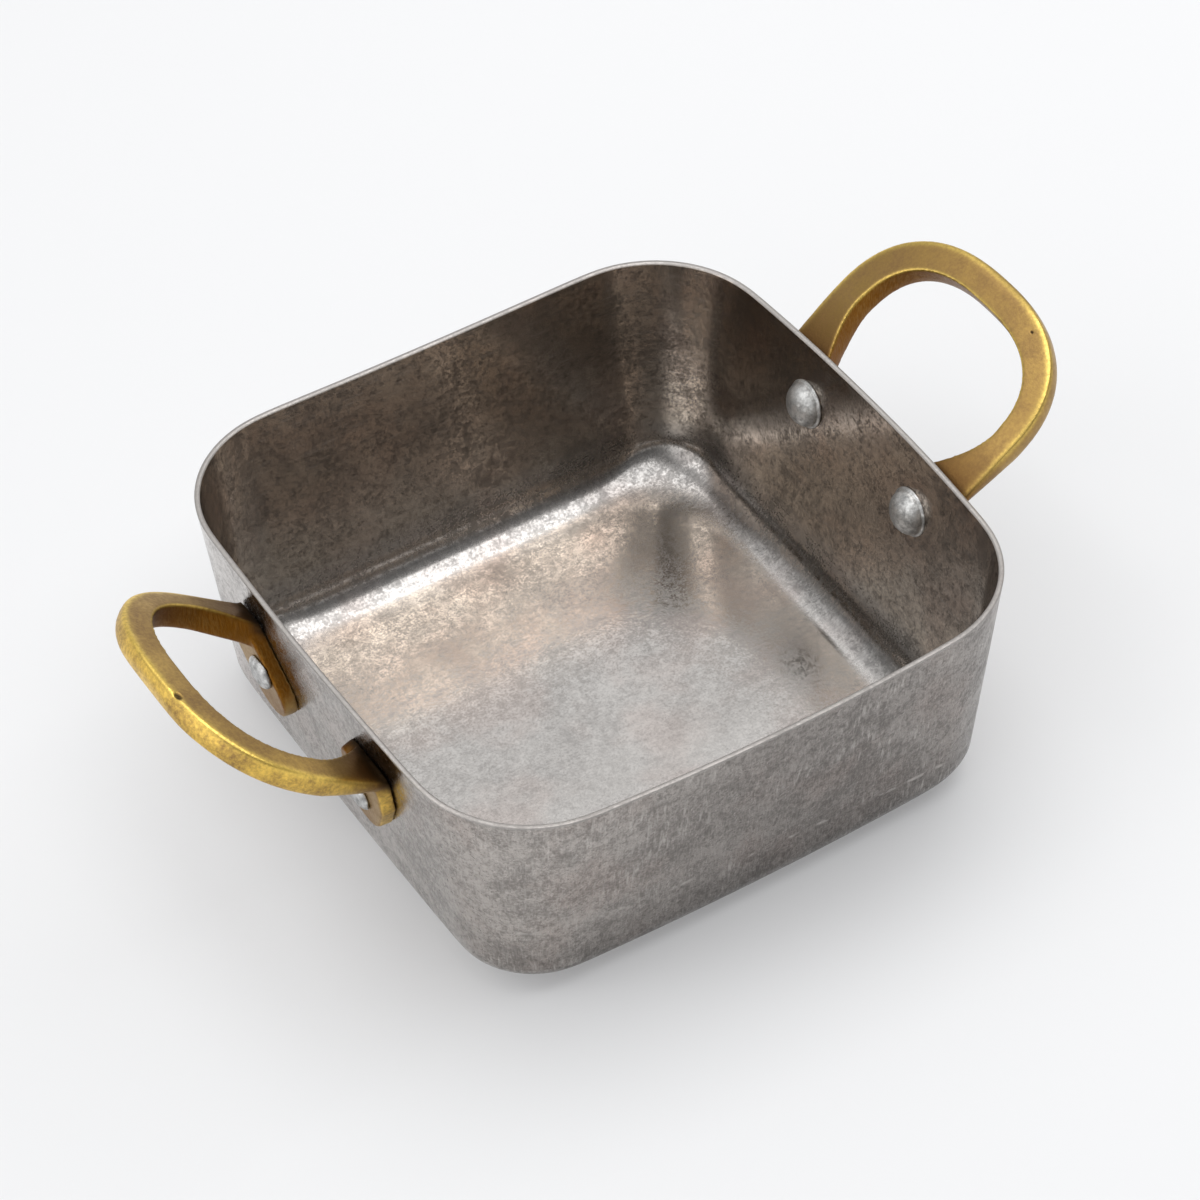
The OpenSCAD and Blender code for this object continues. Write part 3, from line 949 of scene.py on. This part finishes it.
# Painted shade: the root is darkened to brown towards the wall
colour = blend_colours(tree, times(tree, stored(tree, "painted_root_shade"), 0.9), colour, ROOT_PAINTED_SHADE)
# Painted shade: the faces inside the loop are painted dark brown, a little less where the file marks run
painted_inner_shade = times(tree, inside, spread(tree, file_marks, 0.0, 1.0, 1.0, 0.78))
colour = blend_colours(tree, painted_inner_shade, colour, INNER_PAINTED_SHADE)
rubbed = times(tree, edge, spread(tree, spots, 0.0, 1.0, 1.0, 0.55))
colour = blend_colours(tree, rubbed, colour, RUBBED_BRASS)
# Dark wax in the pit, and painted shade in the crevice at the wall
wax_and_shade = times(tree, spread(tree, pit_dirt_and_crevice_shade, 0.12, 0.9), spread(tree, spots, 0.0, 1.0, 1.0, 0.75))
colour = blend_colours(tree, wax_and_shade, colour, DARK_WAX_AND_SHADE)
tree.links.new(colour, shader.inputs["Base Color"])
roughness = spread(tree, tarnish, 0.1, 0.8, 0.32, 0.46)
roughness = add_up(tree, roughness, (rubbed, -0.08), (wax_and_shade, 0.25))
tree.links.new(roughness, shader.inputs["Roughness"])
shader.inputs["Metallic"].default_value = 1.0
settings = {"Vector": place, "Scale": 1.7, "Detail": 2.0, "Roughness": 0.5}
fine = put(tree, "ShaderNodeTexNoise", settings).outputs[0]
bumps = add_up(tree, fine, (file_marks, spread(tree, inside, 0.0, 1.0, 0.2, 0.9)))
bump = put(tree, "ShaderNodeBump", {"Strength": 0.25, "Distance": 0.00012, "Height": bumps})
tree.links.new(bump.outputs[0], shader.inputs["Normal"])
for piece in handles:
    piece.data.materials.append(handle_brass)

# %% Dull rivet metal
RIVET_TONES = ((0.66, 0.66, 0.65, 1), (0.29, 0.29, 0.285, 1))
rivet_metal, tree, shader, place = new_metal("rivet_metal")
spots = use(tree, patina_clouds, Place=place, Size=1.6, Roughness=0.7, Low=0.32, High=0.68)
colour = blend_colours(tree, spots, *RIVET_TONES)
tree.links.new(colour, shader.inputs["Base Color"])
tree.links.new(spread(tree, spots, 0.0, 1.0, 0.36, 0.54), shader.inputs["Roughness"])
shader.inputs["Metallic"].default_value = 1.0
bump = put(tree, "ShaderNodeBump", {"Strength": 0.3, "Distance": 0.0002, "Height": spots})
tree.links.new(bump.outputs[0], shader.inputs["Normal"])
for piece in rivets:
    piece.data.materials.append(rivet_metal)
print("materials:", [material.name for material in bpy.data.materials])

# %% [markdown]
# ## Floor and light
# The photograph has a pale seamless floor under a broad softbox, and a smaller one hangs on the left.
# Metal shows what stands around it: the pan's floor and its bends mirror the softboxes, and its walls
# mirror a room that is pale low down and under its ceiling and dim between, so they look dark. One pale
# wall on the left lights the right-hand side. The paper is shown a little paler than the light on it
# would make it, by some light of its own that only the camera and the metal see; its shadow stays.

# %% Floor
FLOOR_HALF = 4.0
# The paper lies a little below the pan, so that the two faces don't flicker through each other
FLOOR_GAP = 0.0001
PAPER = (0.83, 0.835, 0.845, 1)
PAPER_SHOWN = (0.86, 0.865, 0.88, 1)
PAPER_OWN_LIGHT = 0.22

floor_mesh = bmesh.new()
bmesh.ops.create_grid(floor_mesh, x_segments=1, y_segments=1, size=FLOOR_HALF)
floor_data = bpy.data.meshes.new("floor")
floor_mesh.to_mesh(floor_data)
floor_mesh.free()
floor = bpy.data.objects.new("floor", floor_data)
floor.location.z = -FLOOR_GAP
scene.collection.objects.link(floor)
floor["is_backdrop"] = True
paper = bpy.data.materials.new("pale_paper")
paper.use_nodes = True
tree = paper.node_tree
paper_shader = tree.nodes["Principled BSDF"]
paper_shader.inputs["Base Color"].default_value = PAPER
paper_shader.inputs["Roughness"].default_value = 0.9
own_light = put(tree, "ShaderNodeEmission", {"Color": PAPER_SHOWN, "Strength": 1.0}).outputs[0]
path = put(tree, "ShaderNodeLightPath").outputs
seen = calculate(tree, "MAXIMUM", path["Is Camera Ray"], path["Is Glossy Ray"])
seen = calculate(tree, "MAXIMUM", seen, path["Is Transmission Ray"])
share = times(tree, seen, PAPER_OWN_LIGHT)
shown = put(tree, "ShaderNodeMixShader", {0: share, 1: paper_shader.outputs[0], 2: own_light}).outputs[0]
tree.links.new(shown, tree.nodes["Material Output"].inputs["Surface"])
floor_data.materials.append(paper)

# %% Room
# How bright the room is everywhere, and how much the ceiling, the pale low part and the wall add.
# Behind the camera the ceiling is only a share as bright.
ROOM_LOW = 0.11
CEILING = 0.85
CAMERA_SIDE = 0.18
HORIZON_GLOW = 0.90
PALE_WALL = 0.95
# Where they begin and end, as the climb of a direction or as how much it looks their way
CEILING_RUN = (0.40, 0.75)
CAMERA_SIDE_RUN = (-0.4, 0.4)
HORIZON_RUN = (0.24, 0.50)
PALE_WALL_RUN = (0.70, 0.93)
PALE_WALL_SIDE = Vector((-0.93, -0.14, 0.34))

room = bpy.data.worlds.new("room")
scene.world = room
room.use_nodes = True
tree = room.node_tree
tree.nodes.clear()
direction = put(tree, "ShaderNodeTexCoord").outputs["Generated"]
turned = put(tree, "ShaderNodeSeparateXYZ", {"Vector": direction}).outputs
leftward = put(tree, "ShaderNodeVectorMath", {0: direction, 1: PALE_WALL_SIDE},
               operation="DOT_PRODUCT").outputs["Value"]
ceiling = times(tree, spread(tree, turned["Z"], *CEILING_RUN, 0.0, CEILING),
                spread(tree, turned["Y"], *CAMERA_SIDE_RUN, CAMERA_SIDE, 1.0))
horizon = spread(tree, turned["Z"], *HORIZON_RUN, HORIZON_GLOW, 0.0)
pale_wall = spread(tree, leftward, *PALE_WALL_RUN, 0.0, PALE_WALL)
strength = add_up(tree, ROOM_LOW, (ceiling, 1.0), (horizon, 1.0), (pale_wall, 1.0))
light = put(tree, "ShaderNodeBackground", {"Color": (1, 1, 1, 1), "Strength": strength}).outputs[0]
pale = put(tree, "ShaderNodeBackground", {"Color": PAPER_SHOWN, "Strength": 1.0}).outputs[0]
seen = put(tree, "ShaderNodeLightPath").outputs["Is Camera Ray"]
mixed = put(tree, "ShaderNodeMixShader", {0: seen, 1: light, 2: pale}).outputs[0]
put(tree, "ShaderNodeOutputWorld", {"Surface": mixed})

# %% Softboxes
SOFTBOX_HEIGHT = 0.85


def hang_softbox(name, radiance, left, right, near, far):
    """A level area lamp over the pan, between the given edges in metres."""
    lamp_data = bpy.data.lights.new(name, "AREA")
    lamp_data.shape = "RECTANGLE"
    lamp_data.size = right - left
    lamp_data.size_y = far - near
    lamp_data.energy = radiance * pi * lamp_data.size * lamp_data.size_y
    lamp = bpy.data.objects.new(name, lamp_data)
    lamp.location = ((left + right) / 2, (near + far) / 2, SOFTBOX_HEIGHT)
    scene.collection.objects.link(lamp)
    print(name, "gives", round(lamp_data.energy, 1), "W")


hang_softbox("main_softbox", radiance=1.95, left=-0.18, right=0.64, near=-0.46, far=0.50)
hang_softbox("side_softbox", radiance=1.35, left=-0.96, right=-0.40, near=-0.02, far=0.30)
scene.view_settings.view_transform = "Standard"

# %% [markdown]
# ## Size of the dressed pan
# The dressed pan is measured, and its box is printed beside the CAD box.

# %% Size and finish
visual_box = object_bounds()
boxes = {"cad_box": cad_box, "visual_box": visual_box}
boxes = {name: [list(corner) for corner in box] for name, box in boxes.items()}
for name, box in boxes.items():
    print(name, [[round(value / MM, 2) for value in corner] for corner in box])
